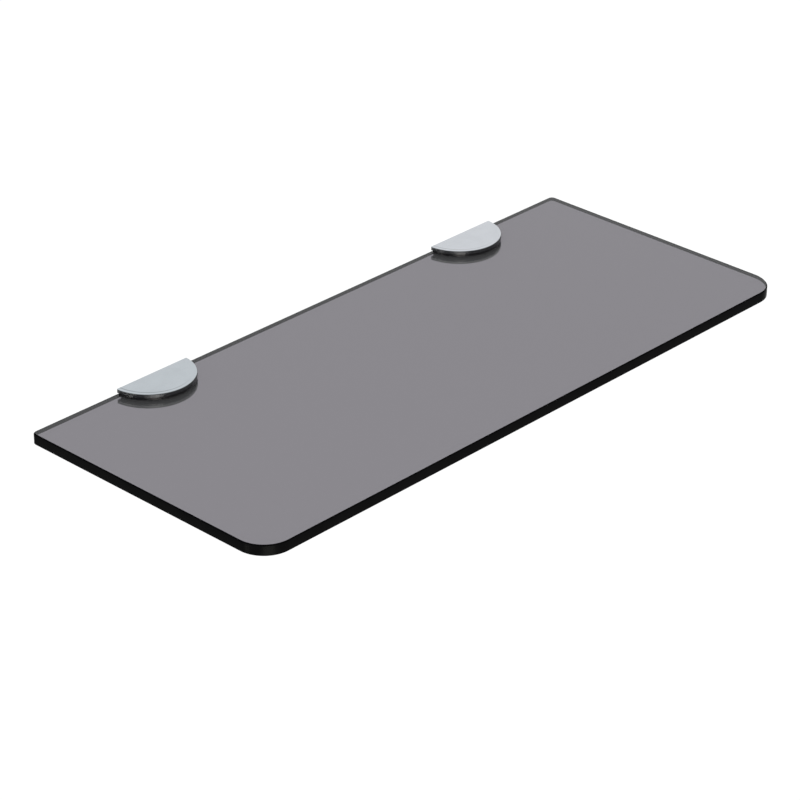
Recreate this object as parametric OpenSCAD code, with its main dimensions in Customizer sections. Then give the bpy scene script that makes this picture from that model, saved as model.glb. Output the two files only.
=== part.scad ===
// Glass wall shelf held by two half-moon clamps.
//
// A tinted glass board is gripped along its back edge by two castings that are screwed to the
// wall. Each casting has two half-moon jaws on a narrower, lower back plate, with a rubber pad on
// both jaws. Two hex-socket set screws come up through bosses under its lower jaw, and every set screw
// carries a swivelling plastic tip that presses the board against the upper pad.
//
// Frame: the wall is the plane Y = 0 and the shelf stands out towards -Y. X runs along the shelf,
// Z is up, and the origin lies midway between the clamps, level with the middle of the glass.

/* [Glass board] */
// Length along the wall
board_length = 609.6; // [520:0.1:760]
// Depth from the back edge to the front edge
board_depth = 254; // [150:0.1:300]
// Glass thickness
glass_thickness = 9.525; // [8:0.005:12]
// Radius of the two front corners
front_corner_r = 25.4; // [5:0.1:60]
// Radius of the two back corners
back_corner_r = 4.6; // [1.5:0.1:8]
// Width of the ground arris along every edge
arris = 0.8; // [0.3:0.1:1]

/* [Clamp castings] */
// Distance between the centres of the two clamps
clamp_spacing = 362; // [250:1:440]
// Radius of the half-moon outline
clamp_r = 37.6; // [34:0.1:42]
// Distance from the wall to the centre of the half-moon outline
outline_setback = 1.2; // [0.8:0.1:2.4]
// Distance from the wall to the straight back edge of both jaws
jaw_back = 3.3; // [2.6:0.1:4]
// Radius of the two back corners of each jaw
jaw_corner_r = 1.5; // [1:0.1:2.4]
// Thickness of the upper jaw
upper_jaw = 2.8; // [2.2:0.1:5]
// Thickness of the lower jaw
lower_jaw = 2.7; // [2.4:0.1:5]
// Thickness of the back plate behind the glass
back_wall = 2; // [1.9:0.1:2.4]
// Width of the back plate
plate_width = 62; // [54:1:64]
// How far the back plate reaches above and below the glass
plate_reach = 2.1; // [1.2:0.1:2.2]
// Radius of the rounded outer rims
rim_r = 0.5; // [0.3:0.1:1]
// Radius of the two screw bosses under the lower jaw
boss_r = 5.2; // [4.5:0.1:6]
// Height of the bosses
boss_height = 1.5; // [1:0.1:2]

/* [Pads] */
// Thickness of the pad under the upper jaw
upper_pad = 2.2; // [1:0.1:3]
// Thickness of the pad on the lower jaw
lower_pad = 0.8; // [0.8:0.1:1.5]
// Free space between the glass and the lower pad
pad_gap = 0.2; // [0.2:0.05:0.4]
// How far the pads stay inside the rim of the jaws
pad_inset = 0.4; // [0.2:0.1:2]

/* [Wall screw holes] */
// Distance between the two holes of one clamp
wall_hole_pitch = 36; // [24:1:44]
// Radius of each hole
wall_hole_r = 1.9; // [1.6:0.1:2.1]
// Radius of the countersink at the mouth of each hole
countersink_r = 3.3; // [2.6:0.1:3.3]

/* [Set screws] */
// Distance between the two set screws of one clamp
screw_pitch = 30; // [20:1:36]
// Distance from the wall to the set screws
screw_setback = 20; // [14:0.5:22]
// Radius of the tapped hole in each boss
tapped_hole_r = 2.5; // [2.4:0.1:3]
// Radial play between the set screw and its tapped hole
thread_play = 0.05; // [0.03:0.01:0.1]
// Width across the flats of the hex socket
socket_flats = 2.5; // [2:0.1:2.6]
// Depth of the hex socket
socket_depth = 1.8; // [1.2:0.1:1.9]

/* [Swivel tips] */
// Radius of the disc that presses on the glass
tip_r = 2.1; // [1.6:0.1:2.3]
// Thickness of the disc
tip_disc = 1.2; // [0.8:0.05:1.2]
// Radius of the stem in the end of the set screw
stem_r = 1; // [0.7:0.05:1.1]
// Length of the stem
stem_length = 1; // [0.6:0.1:1]

/* [Hidden] */

$fn = 96;
LEFT = -1;
RIGHT = 1;
OUTER = 1;
INNER = -1;

glass_top = glass_thickness / 2;
glass_bottom = -glass_thickness / 2;
mouth_top = glass_top + upper_pad;
mouth_bottom = glass_bottom - pad_gap - lower_pad;
clamp_top = mouth_top + upper_jaw;
clamp_bottom = mouth_bottom - lower_jaw;
boss_bottom = clamp_bottom - boss_height;
countersink_depth = countersink_r - wall_hole_r;
screw_r = tapped_hole_r - thread_play;
screw_top = glass_bottom - tip_disc;
screw_length = screw_top - boss_bottom;
screw_bevel = 0.4;
stem_play = 0.05;
tip_bevel = 0.3;
boss_bevel = 0.5;
pad_hole_play = 0.3;
neck_reach = 2.2; // how far the necks run forward of the jaws' back edges
neck_front = jaw_back + neck_reach;
plate_over = 0.3; // how far the back plate runs forward of the same edges
neck_play = 0.4; // free space between the glass and each neck
pad_play = 0.1; // free space between the necks and the pads
corner_over = 0.05; // how far a back corner's round runs past the faces that it joins
cut = 1; // how far a cutter runs past the face that it opens
arris_over = 0.3; // the same for the arris

// ---- Glass board ----

// Plan view of the board: round front corners, and back corners with a smaller radius.
module board_outline() {
    half = board_length / 2;
    front_round = board_depth - front_corner_r;
    translate([-half, -front_round])
        square([board_length, front_round - back_corner_r]);
    translate([-half + back_corner_r, -front_round])
        square([board_length - 2 * back_corner_r, front_round]);
    translate([-half + front_corner_r, -board_depth])
        square([board_length - 2 * front_corner_r, board_depth]);
    for (side = [LEFT, RIGHT]) {
        translate([side * (half - front_corner_r), -front_round])
            circle(r = front_corner_r);
        translate([side * (half - back_corner_r), -back_corner_r])
            circle(r = back_corner_r);
    }
}

// Cross-section of what the grinder takes off a top edge. The sharp edge is at [edge, glass_top].
module arris_section(edge = 0) {
    translate([edge, glass_top])
        polygon([
            [-arris - arris_over, arris_over],
            [arris_over, arris_over],
            [arris_over, -arris - arris_over]
        ]);
}

// Straight run of the arris along an edge that starts at [x, y] and heads in the given direction,
// with the glass on its left.
module arris_run(x, y, heading, length) {
    translate([x, y, 0])
        rotate([0, 0, heading])
        rotate([90, 0, 90])
        linear_extrude(height = length)
        mirror([1, 0])
        arris_section();
}

// Arris round a corner whose centre is at [x, y], over the quarter turn from the given angle.
module arris_corner(x, y, r, from) {
    translate([x, y, 0])
        rotate([0, 0, from])
        rotate_extrude(angle = 90)
        arris_section(r);
}

// Everything that the arris removes along the top of the board.
module arris_cut() {
    half = board_length / 2;
    front_x = half - front_corner_r;
    front_y = -board_depth + front_corner_r;
    back_x = half - back_corner_r;
    side_run = board_depth - front_corner_r - back_corner_r;
    arris_run(-front_x, -board_depth, 0, 2 * front_x);
    arris_run(half, front_y, 90, side_run);
    arris_run(back_x, 0, 180, 2 * back_x);
    arris_run(-half, -back_corner_r, 270, side_run);
    arris_corner(front_x, front_y, front_corner_r, 270);
    arris_corner(-front_x, front_y, front_corner_r, 180);
    arris_corner(back_x, -back_corner_r, back_corner_r, 0);
    arris_corner(-back_x, -back_corner_r, back_corner_r, 90);
}

module glass_board() {
    color("#8b888d", 0.6)
        translate([0, -back_wall, 0])
        difference() {
            translate([0, 0, glass_bottom])
                linear_extrude(height = glass_thickness)
                board_outline();
            arris_cut();
            mirror([0, 0, 1])
                arris_cut();
        }
}

// ---- Clamp castings ----

// Half of the clamp's front view, from its centre line out to the rounded rims.
module rim_section() {
    height = clamp_top - clamp_bottom;
    translate([0, clamp_bottom])
        square([clamp_r - rim_r, height]);
    translate([0, clamp_bottom + rim_r])
        square([clamp_r, height - 2 * rim_r]);
    for (z = [clamp_bottom + rim_r, clamp_top - rim_r]) {
        translate([clamp_r - rim_r, z])
            circle(r = rim_r);
    }
}

// Takes the sharp right back corner off both jaws.
module corner_cut() {
    from_centre = jaw_back + jaw_corner_r - outline_setback;
    edge_x = sqrt(pow(clamp_r, 2) - pow(from_centre, 2));
    height = clamp_top - clamp_bottom;
    shift = corner_over - jaw_corner_r;
    translate([edge_x + shift, -jaw_back + shift, clamp_bottom - cut])
        difference() {
            cube([jaw_corner_r + cut, jaw_corner_r + cut, height + 2 * cut]);
            translate([0, 0, -cut])
                cylinder(h = height + 4 * cut, r = jaw_corner_r);
        }
}

// The space between the jaws, which takes the glass and both pads.
module mouth() {
    width = 2 * (clamp_r + cut);
    translate([-width / 2, -width, mouth_bottom])
        cube([width, width, mouth_top - mouth_bottom]);
}

// The two half-moon jaws: a round-rimmed disc with its back cut straight and its middle taken out.
module jaws() {
    difference() {
        translate([0, -outline_setback, 0])
            rotate([0, 0, 180])
            rotate_extrude(angle = 180)
            rim_section();
        translate([-clamp_r - cut, -jaw_back, clamp_bottom - cut])
            cube([2 * (clamp_r + cut), jaw_back, clamp_top - clamp_bottom + 2 * cut]);
        corner_cut();
        mirror([1, 0, 0])
            corner_cut();
        mouth();
    }
}

// The plate against the wall, with a neck at its top and bottom that runs forward into each jaw.
module back_plate() {
    top = glass_top + plate_reach;
    into_jaw = upper_jaw / 3;
    plate_front = jaw_back + plate_over;
    translate([-plate_width / 2, 0, 0])
        rotate([90, 0, 90])
        linear_extrude(height = plate_width)
        polygon([
            [0, -top],
            [0, top],
            [-plate_front, top],
            [-plate_front, mouth_top + into_jaw],
            [-neck_front, mouth_top + into_jaw],
            [-neck_front, mouth_bottom - into_jaw],
            [-plate_front, mouth_bottom - into_jaw],
            [-plate_front, -top]
        ]);
}

// Bevelled boss under the lower jaw that gives the set screw a longer thread.
module boss() {
    translate([0, 0, boss_bottom]) {
        cylinder(h = boss_bevel, r1 = boss_r - boss_bevel, r2 = boss_r);
        translate([0, 0, boss_bevel])
            cylinder(h = boss_height - boss_bevel + lower_jaw / 2, r = boss_r);
    }
}

// The slot between the necks that takes the back edge of the glass.
module glass_slot() {
    height = glass_thickness + 2 * neck_play;
    translate([-plate_width / 2 - cut, -neck_front - cut, -height / 2])
        cube([plate_width + 2 * cut, neck_front + cut - back_wall, height]);
}

// Countersunk hole through the back plate, with its axis along Y.
module wall_hole() {
    rotate([90, 0, 0]) {
        translate([0, 0, -cut])
            cylinder(h = back_wall + 2 * cut, r = wall_hole_r);
        translate([0, 0, back_wall - countersink_depth])
            cylinder(h = countersink_depth, r1 = wall_hole_r, r2 = countersink_r);
    }
}

// Tapped hole through the boss and the lower jaw.
module tapped_hole() {
    translate([0, 0, boss_bottom - cut])
        cylinder(h = boss_height + lower_jaw + 1.5 * cut, r = tapped_hole_r);
}

module clamp(side) {
    color("#c4cacf")
        translate([side * clamp_spacing / 2, 0, 0])
        difference() {
            union() {
                jaws();
                back_plate();
                for (place = [OUTER, INNER]) {
                    translate([place * screw_pitch / 2, -screw_setback, 0])
                        boss();
                }
            }
            glass_slot();
            for (place = [OUTER, INNER]) {
                translate([place * wall_hole_pitch / 2, 0, 0])
                    wall_hole();
                translate([place * screw_pitch / 2, -screw_setback, 0])
                    tapped_hole();
            }
        }
}

// ---- Pads ----

// Plan view of a pad: the outline of the jaw in front of the neck, drawn in by the inset.
module pad_outline() {
    pad_back = neck_front + pad_play;
    intersection() {
        translate([0, -outline_setback])
            circle(r = clamp_r - pad_inset);
        translate([-clamp_r, -pad_back - 2 * clamp_r])
            square([2 * clamp_r, 2 * clamp_r]);
    }
}

module upper_pad_piece(side) {
    color("#161616")
        translate([side * clamp_spacing / 2, 0, glass_top])
        linear_extrude(height = upper_pad)
        pad_outline();
}

module lower_pad_piece(side) {
    color("#161616")
        translate([side * clamp_spacing / 2, 0, mouth_bottom])
        linear_extrude(height = lower_pad)
        difference() {
            pad_outline();
            for (place = [OUTER, INNER]) {
                translate([place * screw_pitch / 2, -screw_setback])
                    circle(r = tapped_hole_r + pad_hole_play);
            }
        }
}

// ---- Set screws and their tips ----

// Moves a piece from the origin to one of the four set screw axes.
module at_screw(side, place) {
    translate([side * (clamp_spacing + place * screw_pitch) / 2, -screw_setback, 0])
        children();
}

// Headless screw with bevelled ends, a hex socket below and a bore for the tip's stem above.
module set_screw(side, place) {
    socket_r = socket_flats / 2 / cos(30);
    color("#8d9094")
        at_screw(side, place)
        difference() {
            translate([0, 0, boss_bottom]) {
                cylinder(h = screw_bevel, r1 = screw_r - screw_bevel, r2 = screw_r);
                translate([0, 0, screw_bevel])
                    cylinder(h = screw_length - 2 * screw_bevel, r = screw_r);
                translate([0, 0, screw_length - screw_bevel])
                    cylinder(h = screw_bevel, r1 = screw_r, r2 = screw_r - screw_bevel);
            }
            translate([0, 0, boss_bottom - cut])
                cylinder(h = socket_depth + cut, r = socket_r, $fn = 6);
            translate([0, 0, screw_top - stem_length - 2 * stem_play])
                cylinder(h = stem_length + cut, r = stem_r + stem_play);
        }
}

// Disc with a stem. The disc turns on the screw and doesn't rub on the glass.
module swivel_tip(side, place) {
    color("#e9e7df")
        at_screw(side, place) {
            translate([0, 0, screw_top])
                cylinder(h = tip_disc - tip_bevel, r = tip_r);
            translate([0, 0, glass_bottom - tip_bevel])
                cylinder(h = tip_bevel, r1 = tip_r, r2 = tip_r - tip_bevel);
            translate([0, 0, screw_top - stem_length])
                cylinder(h = stem_length + tip_disc / 2, r = stem_r);
        }
}

glass_board();
clamp(LEFT);  // clamp_left
clamp(RIGHT);  // clamp_right
upper_pad_piece(LEFT);  // upper_pad_left
upper_pad_piece(RIGHT);  // upper_pad_right
lower_pad_piece(LEFT);  // lower_pad_left
lower_pad_piece(RIGHT);  // lower_pad_right
set_screw(LEFT, OUTER);  // set_screw_left_outer
set_screw(LEFT, INNER);  // set_screw_left_inner
set_screw(RIGHT, INNER);  // set_screw_right_inner
set_screw(RIGHT, OUTER);  // set_screw_right_outer
swivel_tip(LEFT, OUTER);  // tip_left_outer
swivel_tip(LEFT, INNER);  // tip_left_inner
swivel_tip(RIGHT, INNER);  // tip_right_inner
swivel_tip(RIGHT, OUTER);  // tip_right_outer
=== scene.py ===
"""Glass wall shelf on two half-moon clamps: looks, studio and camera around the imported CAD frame.

Metres, in the part's own frame: the wall is Y = 0, the shelf stands out towards -Y, Z is up.
"""

import math

import bmesh
import bpy
from mathutils import Matrix, Vector

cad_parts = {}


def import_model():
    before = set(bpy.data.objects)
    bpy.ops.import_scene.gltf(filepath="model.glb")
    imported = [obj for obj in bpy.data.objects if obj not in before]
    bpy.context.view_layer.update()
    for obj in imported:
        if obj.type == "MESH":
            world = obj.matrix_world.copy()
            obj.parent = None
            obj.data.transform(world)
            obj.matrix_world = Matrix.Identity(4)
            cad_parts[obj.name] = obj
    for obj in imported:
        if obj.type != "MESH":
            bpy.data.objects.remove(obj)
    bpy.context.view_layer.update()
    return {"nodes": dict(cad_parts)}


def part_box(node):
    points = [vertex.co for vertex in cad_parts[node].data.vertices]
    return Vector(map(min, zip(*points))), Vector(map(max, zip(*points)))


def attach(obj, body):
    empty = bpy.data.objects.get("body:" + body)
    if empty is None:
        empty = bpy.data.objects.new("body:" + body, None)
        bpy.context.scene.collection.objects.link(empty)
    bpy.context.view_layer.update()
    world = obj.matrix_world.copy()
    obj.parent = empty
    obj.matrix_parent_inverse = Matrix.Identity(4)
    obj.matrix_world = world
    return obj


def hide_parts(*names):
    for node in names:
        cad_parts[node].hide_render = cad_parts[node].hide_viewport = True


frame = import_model()
MM = 0.001
SIDES = ("left", "right")
SCREWS = ("left_outer", "left_inner", "right_inner", "right_outer")


# ---------------------------------------------------------------- node helpers

def set_stops(ramp, stops):
    """Fills a colour ramp. Each stop is (position, colour), and a colour may be one grey."""
    elements = ramp.color_ramp.elements
    while len(elements) < len(stops):
        elements.new(0.5)
    for element, (position, colour) in zip(elements, stops):
        element.position = position
        grey = isinstance(colour, (int, float))
        element.color = (colour,) * 3 + (1,) if grey else (*colour, 1)


class Shader:
    """A new material with a Principled surface, and short ways to add nodes to it."""

    # Where a Mix node keeps its factor, its two colours and its coloured result.
    MIX_INPUTS = (0, 6, 7)
    MIX_RESULT = 2

    def __init__(self, name):
        self.material = bpy.data.materials.new(name)
        self.material.use_nodes = True
        self.nodes = self.material.node_tree.nodes
        self.links = self.material.node_tree.links
        self.surface = self.nodes["Principled BSDF"]
        self.output = self.nodes["Material Output"]

    def node(self, kind, **settings):
        """A new node of a kind, which is its type's name without ShaderNode."""
        made = self.nodes.new("ShaderNode" + kind)
        for key, value in settings.items():
            setattr(made, key, value)
        return made

    def link(self, source, target):
        """Joins an output socket to an input socket."""
        self.links.new(source, target)

    def feed(self, target, value):
        """Gives an input socket its value, which is an output socket or plain data."""
        if isinstance(value, bpy.types.NodeSocket):
            self.link(value, target)
        else:
            target.default_value = value

    def set(self, **values):
        """Feeds the surface's own sockets. Underscores in the keys stand for spaces."""
        for key, value in values.items():
            self.feed(self.surface.inputs[key.replace("_", " ")], value)

    def place(self, scale=(1, 1, 1)):
        """Object coordinates, stretched by scale."""
        coordinates = self.node("TexCoord")
        mapping = self.node("Mapping")
        mapping.inputs["Scale"].default_value = scale
        self.link(coordinates.outputs["Object"], mapping.inputs["Vector"])
        return mapping.outputs["Vector"]

    def noise(self, where, scale, detail=4.0, roughness=0.55, distortion=0.0):
        """Cloudy noise from 0 to 1."""
        made = self.node("TexNoise")
        self.link(where, made.inputs["Vector"])
        made.inputs["Scale"].default_value = scale
        made.inputs["Detail"].default_value = detail
        made.inputs["Roughness"].default_value = roughness
        made.inputs["Distortion"].default_value = distortion
        return made.outputs["Fac"]

    def ramp(self, factor, *stops):
        """The colour that factor has on a ramp of stops."""
        made = self.node("ValToRGB")
        self.link(factor, made.inputs["Fac"])
        set_stops(made, stops)
        return made.outputs["Color"]

    def range(self, value, low, high, to_low, to_high):
        """Maps a value from low..high to to_low..to_high. Each end is a socket or a number."""
        made = self.node("MapRange")
        self.link(value, made.inputs["Value"])
        keys = ("From Min", "From Max", "To Min", "To Max")
        for key, end in zip(keys, (low, high, to_low, to_high)):
            self.feed(made.inputs[key], end)
        return made.outputs["Result"]

    def mix(self, factor, first, second, blend="MIX"):
        """Colour mix. first and second are sockets or colours, and factor a socket or a number."""
        made = self.node("Mix", data_type="RGBA", blend_type=blend)
        for index, value in zip(self.MIX_INPUTS, (factor, first, second)):
            if isinstance(value, tuple):
                value = (*value, 1)
            self.feed(made.inputs[index], value)
        return made.outputs[self.MIX_RESULT]

    def bump(self, height, strength, distance):
        """Makes the surface follow a height map."""
        made = self.node("Bump")
        made.inputs["Strength"].default_value = strength
        made.inputs["Distance"].default_value = distance
        self.link(height, made.inputs["Height"])
        self.set(Normal=made.outputs["Normal"])

    def math(self, operation, *values):
        """The result of one operation on values that are each a socket or a number."""
        made = self.node("Math", operation=operation)
        for target, value in zip(made.inputs, values):
            self.feed(target, value)
        return made.outputs["Value"]

    def axes(self, vector):
        """The X, Y and Z of a vector, as three sockets."""
        split = self.node("SeparateXYZ")
        self.link(vector, split.inputs["Vector"])
        return split.outputs["X"], split.outputs["Y"], split.outputs["Z"]

    def facing(self):
        """How far a surface faces the wall, and how far it faces up, each from -1 to 1."""
        _, to_wall, up = self.axes(self.node("NewGeometry").outputs["Normal"])
        return to_wall, up

    def painted_rim_shade_line(self, node, inset, width):
        """How strong a painted line of shade along the half-moon's round rim is. It fades from left
        to right.
        """
        low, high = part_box(node)
        radius = (high.x - low.x) / 2
        x, y, _ = self.axes(self.place())
        centre = self.math("MULTIPLY", self.math("SIGN", x), (low.x + high.x) / 2)
        across = self.math("SUBTRACT", x, centre)
        along = self.math("SUBTRACT", y, low.y + radius)
        square = self.math("ADD", self.math("MULTIPLY", across, across),
                           self.math("MULTIPLY", along, along))
        off = self.math("SUBTRACT", self.math("SQRT", square), radius - inset)
        core = 0.3 * width
        line = self.range(self.math("ABSOLUTE", off), core, width, 1.0, 0.0)
        full_to, none_from = -0.7 * radius, 0.5 * radius
        fade = self.range(across, full_to, none_from, 1.0, 0.0)
        return self.math("MULTIPLY", line, fade)


# ---------------------------------------------------------------- materials

GLASS_IOR = 1.52
GLASS_TINT = (0.8874, 0.8832, 0.8904)  # a neutral grey, faintly violet
GLASS_DENSITY = 1080.0  # per metre: light fades with (1 - tint) * density * depth


def tinted_glass():
    """Clear float glass whose grey comes from its depth, with the faint film of handling."""
    shader = Shader("tinted_glass")
    shader.set(Base_Color=(0.85, 0.85, 0.86, 1), Specular_Tint=(0.05, 0.05, 0.05, 1),
               IOR=GLASS_IOR, Transmission_Weight=0.95)
    film = shader.noise(shader.place(), scale=14.0, detail=3.0)
    shader.set(Roughness=shader.range(film, 0.45, 0.75, 0.0, 0.012))
    depth = shader.node("VolumeAbsorption")
    depth.inputs["Color"].default_value = (*GLASS_TINT, 1)
    depth.inputs["Density"].default_value = GLASS_DENSITY
    shader.link(depth.outputs["Volume"], shader.output.inputs["Volume"])
    return shader.material


def ground_edge():
    """The ground and polished edge of dark glass: nearly black, with fine lines along it."""
    shader = Shader("ground_edge")
    shader.set(IOR=1.45, Specular_IOR_Level=0.01)
    lines = shader.noise(shader.place(scale=(1, 1, 60)), scale=90.0, detail=5.0)
    blotches = shader.noise(shader.place(), scale=60.0)
    tone = shader.mix(0.4, lines, blotches)
    dark, pale = (0.0012, 0.0012, 0.0013), (0.0034, 0.0034, 0.0037)
    shader.set(Base_Color=shader.ramp(tone, (0.3, dark), (0.75, pale)),
               Roughness=shader.range(tone, 0.3, 0.7, 0.22, 0.38))
    shader.bump(lines, strength=0.15, distance=0.02 * MM)
    return shader.material


# Painted light and shade: these chrome tones stand for how light falls on the clamps. The left plate
# is painted dimmer than the right one, and sides, undersides and parts under the glass are painted
# dark.
CHROME_LEFT_PAINTED_DIM = (0.815, 0.868, 0.905)
CHROME_RIGHT_PAINTED_BRIGHT = (0.935, 0.960, 1.0)
CHROME_UNDERSIDE_PAINTED_SHADE = (0.42, 0.44, 0.46)
CHROME_UPRIGHT_PAINTED_SHADE = (0.085, 0.088, 0.09)
CHROME_UNDER_GLASS_PAINTED_SHADE = (0.020, 0.021, 0.021)

# Where one tone gives way to the next: along X, in height, and by how far a face looks up or
# towards the wall, each from -1 to 1.
# These steps place the painted light and shade on the chrome.
LEFT_TO_RIGHT = (-190 * MM, 190 * MM)
UNDER_GLASS_TO_ABOVE = (-2 * MM, 4 * MM)
UNDERSIDE_UP = (-0.9, -0.4)
LEVEL_UP = (0.88, 0.999)
TO_WALL = (0.5, 0.95)
TO_WALL_PAINTED_LIGHT_SHARE = 0.4  # how much of the level faces' tone a face towards the wall has: painted light

PLATE_POLISH = (0.07, 0.16)
UPRIGHT_ROUGHNESS = 0.32
# Painted shade: a fine dark line inside the round rim, stronger on the left clamp than on the right.
RIM_LINE_INSET = 3.6 * MM
RIM_LINE_WIDTH = 0.9 * MM
RIM_LINE_PAINTED_SHADE = (0.1, 0.105, 0.11)
RIM_LINE_STRENGTH = (0.42, 0.16)  # the painted shade line's strength, from the left clamp to the right one


def chrome():
    """Bright plate with cloudy smudges, and painted light and shade: its tone follows a face's
    direction, height and side.
    """
    shader = Shader("clamp_chrome")
    shader.set(Metallic=1.0)
    x, _, z = shader.axes(shader.place())
    # Painted light: the plate's tone runs from the dimmer left clamp to the brighter right one.
    level = shader.mix(shader.range(x, *LEFT_TO_RIGHT, 0.0, 1.0), CHROME_LEFT_PAINTED_DIM, CHROME_RIGHT_PAINTED_BRIGHT)
    clouds = shader.noise(shader.place(), scale=55.0, detail=5.0, roughness=0.6, distortion=0.4)
    level = shader.mix(1.0, level, shader.ramp(clouds, (0.3, 0.94), (0.7, 1.0)), blend="MULTIPLY")
    # Painted shade: a dark line inside the rim.
    line = shader.painted_rim_shade_line("clamp_right", RIM_LINE_INSET, RIM_LINE_WIDTH)
    strength = shader.range(x, *LEFT_TO_RIGHT, *RIM_LINE_STRENGTH)
    level = shader.mix(shader.math("MULTIPLY", line, strength), level, RIM_LINE_PAINTED_SHADE)
    # Painted shade: upright faces under the glass are painted darker still.
    above = shader.range(z, *UNDER_GLASS_TO_ABOVE, 0.0, 1.0)
    # Painted shade: upright faces are painted near black, as the dark reflection they show.
    upright = shader.mix(above, CHROME_UNDER_GLASS_PAINTED_SHADE, CHROME_UPRIGHT_PAINTED_SHADE)
    to_wall, up = shader.facing()
    # Painted shade: faces that look down take a darker tone.
    level = shader.mix(shader.range(up, *UNDERSIDE_UP, 1.0, 0.0), level, CHROME_UNDERSIDE_PAINTED_SHADE)
    # Painted light and shade: only near-level faces keep the bright plate tone. Rounded rims are
    # painted dark, and faces towards the wall are painted part way bright.
    flat = shader.range(shader.math("ABSOLUTE", up), *LEVEL_UP, 0.0, 1.0)
    behind = shader.range(to_wall, *TO_WALL, 0.0, TO_WALL_PAINTED_LIGHT_SHARE)
    share = shader.math("MAXIMUM", flat, behind)
    smudges = shader.noise(shader.place(scale=(1, 2, 1)), scale=130.0, detail=6.0, roughness=0.65)
    polish = shader.range(smudges, 0.35, 0.75, *PLATE_POLISH)
    shader.set(Base_Color=shader.mix(share, upright, level),
               Roughness=shader.range(share, 0.0, 1.0, UPRIGHT_ROUGHNESS, polish))
    ripple = shader.noise(shader.place(), scale=420.0, detail=2.0)
    shader.bump(ripple, strength=0.05, distance=0.01 * MM)
    return shader.material


def rubber():
    """Smooth black rubber with a fine moulded grain."""
    shader = Shader("pad_rubber")
    shader.set(IOR=1.5, Specular_IOR_Level=0.32)
    grain = shader.noise(shader.place(), scale=1400.0, detail=2.0)
    wear = shader.noise(shader.place(), scale=120.0)
    dark, pale = (0.004, 0.004, 0.0042), (0.010, 0.010, 0.0105)
    shader.set(Base_Color=shader.ramp(wear, (0.3, dark), (0.8, pale)),
               Roughness=shader.range(grain, 0.3, 0.7, 0.22, 0.36))
    shader.bump(grain, strength=0.3, distance=0.02 * MM)
    return shader.material


def screw_steel():
    """Turned stainless steel: fine rings round the screw, and a little oil in the thread."""
    shader = Shader("screw_steel")
    shader.set(Metallic=1.0)
    rings = shader.noise(shader.place(scale=(1, 1, 30)), scale=300.0, detail=3.0)
    stain = shader.noise(shader.place(), scale=500.0)
    dark, pale = (0.30, 0.30, 0.30), (0.50, 0.50, 0.51)
    shader.set(Base_Color=shader.ramp(stain, (0.3, dark), (0.7, pale)),
               Roughness=shader.range(rings, 0.3, 0.7, 0.22, 0.40))
    shader.bump(rings, strength=0.2, distance=0.01 * MM)
    return shader.material


def tip_nylon():
    """Natural nylon: milky, waxy, with a slight mottle."""
    shader = Shader("tip_nylon")
    shader.set(IOR=1.53, Subsurface_Weight=0.2, Subsurface_Scale=0.5 * MM)
    mottle = shader.noise(shader.place(), scale=900.0)
    dark, pale = (0.72, 0.71, 0.65), (0.82, 0.81, 0.76)
    shader.set(Base_Color=shader.ramp(mottle, (0.3, dark), (0.7, pale)),
               Roughness=shader.range(mottle, 0.3, 0.7, 0.42, 0.55))
    shader.bump(mottle, strength=0.2, distance=0.01 * MM)
    return shader.material


# ---------------------------------------------------------------- mesh helpers

def mesh_object(name, shape, materials, sharp_angle=30):
    """A new object from a bmesh, smooth except where its edges turn by over sharp_angle degrees."""
    mesh = bpy.data.meshes.new(name)
    bmesh.ops.recalc_face_normals(shape, faces=shape.faces)
    shape.to_mesh(mesh)
    shape.free()
    for polygon in mesh.polygons:
        polygon.use_smooth = True
    mesh.set_sharp_from_angle(angle=math.radians(sharp_angle))
    for material in materials:
        mesh.materials.append(material)
    made = bpy.data.objects.new(name, mesh)
    bpy.context.scene.collection.objects.link(made)
    return made


def bevel(obj, width, segments=3, angle=35):
    """Rounds an object's edges that turn by more than angle degrees."""
    made = obj.modifiers.new("bevel", "BEVEL")
    made.width = width
    made.segments = segments
    made.limit_method = "ANGLE"
    made.angle_limit = math.radians(angle)
    made.harden_normals = True


def paint(obj, material):
    """Gives an object one material."""
    obj.data.materials.clear()
    obj.data.materials.append(material)


def bridge(shape, ring_a, ring_b, slot=0):
    """Faces between two closed rings of the same number of vertices."""
    count = len(ring_a)
    for i in range(count):
        face = shape.faces.new((ring_a[i], ring_a[(i + 1) % count],
                                ring_b[(i + 1) % count], ring_b[i]))
        face.material_index = slot


# ---------------------------------------------------------------- glass board

ARRIS = 0.8 * MM  # how much the ground edge takes off the faces' rims, at 45 degrees
ARRIS_ROUND = 0.18 * MM  # how far the arris's own two corners are softened
ARRIS_EASE = 0.12 * ARRIS_ROUND
FRONT_CORNER = 25.4 * MM
BACK_CORNER = 4.6 * MM
FRONT_STEPS = 48
BACK_STEPS = 16


def board_outline(low, high, inset):
    """Anticlockwise plan outline, drawn in by inset, with round front and back corners."""
    corners = (
        (high.x, low.y, FRONT_CORNER, -90, FRONT_STEPS),
        (high.x, high.y, BACK_CORNER, 0, BACK_STEPS),
        (low.x, high.y, BACK_CORNER, 90, BACK_STEPS),
        (low.x, low.y, FRONT_CORNER, 180, FRONT_STEPS),
    )
    middle = (low + high) / 2
    points = []
    for x, y, radius, start, steps in corners:
        centre_x = x - math.copysign(radius, x - middle.x)
        centre_y = y - math.copysign(radius, y - middle.y)
        for i in range(steps + 1):
            angle = math.radians(start + 90 * i / steps)
            points.append((centre_x + (radius - inset) * math.cos(angle),
                           centre_y + (radius - inset) * math.sin(angle)))
    return points


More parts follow.
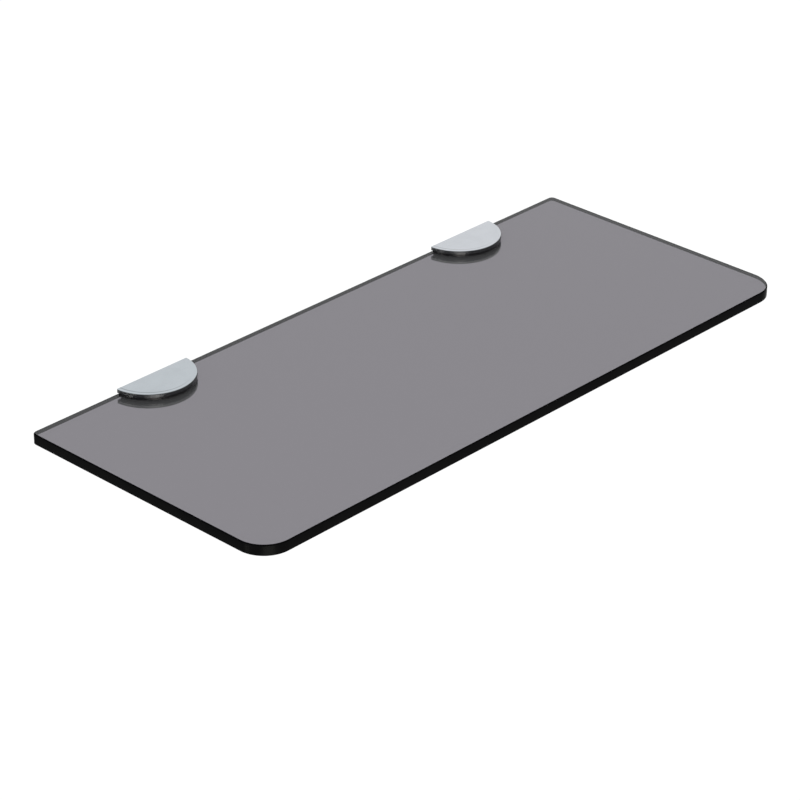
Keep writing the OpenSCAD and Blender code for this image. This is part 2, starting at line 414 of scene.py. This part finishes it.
def arris_profile(half):
    """(inset, z) from the top face's rim to the bottom face's, with softened arris corners."""
    turn = ARRIS_ROUND * math.sqrt(0.5)
    upper = [
        (ARRIS + ARRIS_ROUND, half),
        (ARRIS, half - ARRIS_EASE),
        (ARRIS - turn, half - turn),
        (turn, half - ARRIS + turn),
        (ARRIS_EASE, half - ARRIS),
        (0.0, half - ARRIS - ARRIS_ROUND),
    ]
    return upper + [(inset, -z) for inset, z in reversed(upper)]


def glass_board():
    """The board, with clear faces in the first slot and the ground edge in the second."""
    low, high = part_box("glass_board")
    shape = bmesh.new()
    rings = []
    for inset, z in arris_profile((high.z - low.z) / 2):
        rings.append([shape.verts.new((x, y, z)) for x, y in board_outline(low, high, inset)])
    for upper, lower in zip(rings, rings[1:]):
        bridge(shape, upper, lower, slot=1)
    shape.faces.new(rings[0])
    shape.faces.new(list(reversed(rings[-1])))
    made = mesh_object("tinted_board", shape, [tinted_glass(), ground_edge()])
    for polygon in made.data.polygons:
        polygon.use_smooth = polygon.material_index == 1
    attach(made, "board")
    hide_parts("glass_board")


# ---------------------------------------------------------------- set screws

SCREW_PITCH = 0.8 * MM
THREAD_DEPTH = 0.42 * MM
CREST = 1.6  # the thread's profile is a peak of this height, cut off at 0 and at 1
FLANK_SLOPE = 4.2  # how fast the peak falls away to both sides, per turn
SCREW_BEVEL = 0.4 * MM
SOCKET_FLATS = 2.5 * MM
SOCKET_DEPTH = 1.8 * MM
SOCKET_CHAMFER = 0.15 * MM
SOCKET_END = (0.2 * MM, 0.25 * MM)  # radius and depth of the drill's mark past the socket
BORE = 1.05 * MM
BORE_DEPTH = 1.1 * MM
BORE_CHAMFER = 0.1 * MM
BORE_END = (0.1 * MM, 0.05 * MM)  # and of the one past the bore
STEPS_AROUND = 60
STEPS_ALONG = 80


def thread_height(turns):
    """Share of the full thread height at a point that many turns along the helix."""
    along = turns % 1.0
    return min(max(CREST - abs(along - 0.5) * FLANK_SLOPE, 0.0), 1.0)


def set_screw(name, material):
    """Headless screw with a cut thread, a hex socket below and a bore for the tip above."""
    low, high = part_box("set_screw_" + name)
    axis_x, axis_y = (low.x + high.x) / 2, (low.y + high.y) / 2
    radius = (high.x - low.x) / 2
    shape = bmesh.new()

    def ring(z, radius_at):
        """Vertices round the axis at a height, each at its own radius."""
        made = []
        for i in range(STEPS_AROUND):
            angle = math.tau * i / STEPS_AROUND
            reach = radius_at(i / STEPS_AROUND)
            made.append(shape.verts.new((axis_x + reach * math.cos(angle),
                                         axis_y + reach * math.sin(angle), z)))
        return made

    def hex_radius(share):
        """Distance from the axis to the hexagon's side, at a share of the turn round it."""
        angle = (share * 360 + 30) % 60 - 30
        return SOCKET_FLATS / 2 / math.cos(math.radians(angle))

    rings = [ring(low.z + SOCKET_DEPTH + SOCKET_END[1], lambda share: SOCKET_END[0]),
             ring(low.z + SOCKET_DEPTH, hex_radius),
             ring(low.z + SOCKET_CHAMFER, hex_radius),
             ring(low.z, lambda share: hex_radius(share) + SOCKET_CHAMFER)]
    for step in range(STEPS_ALONG + 1):
        z = low.z + (high.z - low.z) * step / STEPS_ALONG
        room = min(z - low.z, high.z - z, SCREW_BEVEL)
        outer = radius - (SCREW_BEVEL - room)

        def threaded(share, z=z, outer=outer):
            """Radius of the cut thread, and of the bevel at both ends where that is less."""
            cut = radius - THREAD_DEPTH * (1 - thread_height(z / SCREW_PITCH - share))
            return min(outer, cut)

        rings.append(ring(z, threaded))
    rings += [ring(high.z, lambda share: BORE + BORE_CHAMFER),
              ring(high.z - BORE_CHAMFER, lambda share: BORE),
              ring(high.z - BORE_DEPTH, lambda share: BORE),
              ring(high.z - BORE_DEPTH - BORE_END[1], lambda share: BORE_END[0])]
    for first, second in zip(rings, rings[1:]):
        bridge(shape, first, second)
    shape.faces.new(rings[0])
    shape.faces.new(list(reversed(rings[-1])))
    made = mesh_object("threaded_screw_" + name, shape, [material], sharp_angle=28)
    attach(made, "screw_" + name)
    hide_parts("set_screw_" + name)


# ---------------------------------------------------------------- castings, pads and tips

CLAMP_EDGE = 0.3 * MM
SQUARE_EDGES = 60  # degrees: softens a clamp's square edges and leaves its rounded rims alone
PAD_EDGE = 0.2 * MM
TIP_EDGE = 0.1 * MM


def finish_cad_nodes():
    """Materials and softened edges for the CAD nodes that stay as they are."""
    nodes = frame["nodes"]
    plate, pad, nylon = chrome(), rubber(), tip_nylon()
    for side in SIDES:
        paint(nodes["clamp_" + side], plate)
        bevel(nodes["clamp_" + side], CLAMP_EDGE, angle=SQUARE_EDGES)
        for level in ("upper", "lower"):
            node = nodes[f"{level}_pad_{side}"]
            paint(node, pad)
            bevel(node, PAD_EDGE, segments=2)
    for name in SCREWS:
        paint(nodes["tip_" + name], nylon)
        bevel(nodes["tip_" + name], TIP_EDGE, segments=2)


# ---------------------------------------------------------------- studio

# The camera's angles are in degrees, and its lens and sensor in millimetres.
CAMERA_AZIMUTH = -47.0
CAMERA_ELEVATION = 28.364
CAMERA_ROLL = 0.568
CAMERA_DISTANCE = 2.3257
CAMERA_LENS = 133.89
CAMERA_SENSOR = 36.0
CAMERA_AIM = Vector((-0.0700, -0.1683, 0.0048))
FLOOR_PLACE = (0, 0.9, -3.0)  # low enough for a look at the shelf from straight below
FLOOR_SIZE = 27.0
LIGHT_AIM = Vector((0, -0.1, 0))
WARM = (1.0, 1.0, 0.86)
BACKDROP = (  # height of the direction looked in, and its tone
    (0.12, (1.0, 1.0, 1.0)),
    (0.45, (0.62, 0.63, 0.64)),
    (1.0, (0.55, 0.57, 0.60)),
)


def camera():
    """The photo's own view, worked out from the board's edges."""
    azimuth = math.radians(CAMERA_AZIMUTH)
    elevation = math.radians(CAMERA_ELEVATION)
    back = Vector((math.sin(azimuth) * math.cos(elevation),
                   -math.cos(azimuth) * math.cos(elevation), math.sin(elevation)))
    data = bpy.data.cameras.new("camera")
    data.lens = CAMERA_LENS
    data.sensor_width = CAMERA_SENSOR
    data.clip_start = 0.05
    data.clip_end = 60.0
    made = bpy.data.objects.new("camera", data)
    bpy.context.scene.collection.objects.link(made)
    upright = (-back).to_track_quat("-Z", "Y").to_matrix().to_4x4()
    roll = Matrix.Rotation(math.radians(CAMERA_ROLL), 4, "Z")
    made.matrix_world = Matrix.Translation(CAMERA_AIM + back * CAMERA_DISTANCE) @ upright @ roll
    bpy.context.scene.camera = made


def floor():
    """A floor that glows white, so that it shows hardly any shadow."""
    shader = Shader("studio_floor")
    grain = shader.noise(shader.place(), scale=3.0)
    shader.set(Base_Color=(0.06, 0.06, 0.06, 1), Emission_Color=(1, 1, 1, 1),
               Emission_Strength=1.0, Specular_IOR_Level=0.0,
               Roughness=shader.range(grain, 0.3, 0.7, 0.85, 0.95))
    shape = bmesh.new()
    bmesh.ops.create_grid(shape, x_segments=4, y_segments=4, size=FLOOR_SIZE / 2)
    made = mesh_object("studio_floor", shape, [shader.material])
    made.location = FLOOR_PLACE


def area_light(name, place, size, power, colour=(1, 1, 1), seen=True):
    """A soft light. Reflections and the view through the glass show it only if it is seen."""
    data = bpy.data.lights.new(name, "AREA")
    data.color = colour
    data.shape = "RECTANGLE"
    data.size, data.size_y = size
    data.energy = power
    made = bpy.data.objects.new(name, data)
    bpy.context.scene.collection.objects.link(made)
    made.location = place
    made.rotation_mode = "QUATERNION"
    made.rotation_quaternion = (LIGHT_AIM - Vector(place)).to_track_quat("-Z", "Y")
    made.visible_camera = False
    made.visible_transmission = seen
    made.visible_glossy = seen


def lights():
    """One light from above, and two low ones that make the highlights on the clamps' rims."""
    area_light("overhead", (0.1, -0.1, 1.8), size=(2.4, 2.0), power=25, seen=False)
    area_light("low_front", (-0.74, -1.04, -0.60), size=(0.62, 0.50), power=15, colour=WARM)
    area_light("low_left", (-1.60, 0.08, -0.78), size=(0.16, 0.30), power=4, colour=WARM)


def world():
    """A backdrop that is white below and near the horizon, and grey overhead."""
    made = bpy.data.worlds.new("studio")
    bpy.context.scene.world = made
    made.use_nodes = True
    nodes = made.node_tree.nodes
    links = made.node_tree.links
    coordinates = nodes.new("ShaderNodeTexCoord")
    split = nodes.new("ShaderNodeSeparateXYZ")
    ramp = nodes.new("ShaderNodeValToRGB")
    links.new(coordinates.outputs["Generated"], split.inputs["Vector"])
    links.new(split.outputs["Z"], ramp.inputs["Fac"])
    links.new(ramp.outputs["Color"], nodes["Background"].inputs["Color"])
    set_stops(ramp, BACKDROP)


def settings():
    """Plain colours, and enough bounces for the glass."""
    scene = bpy.context.scene
    scene.view_settings.view_transform = "Standard"
    scene.view_settings.look = "None"
    scene.cycles.max_bounces = 16
    scene.cycles.transmission_bounces = 12
    scene.cycles.glossy_bounces = 8


camera()
floor()
lights()
world()
settings()
glass_board()
steel = screw_steel()
for screw in SCREWS:
    set_screw(screw, steel)
finish_cad_nodes()
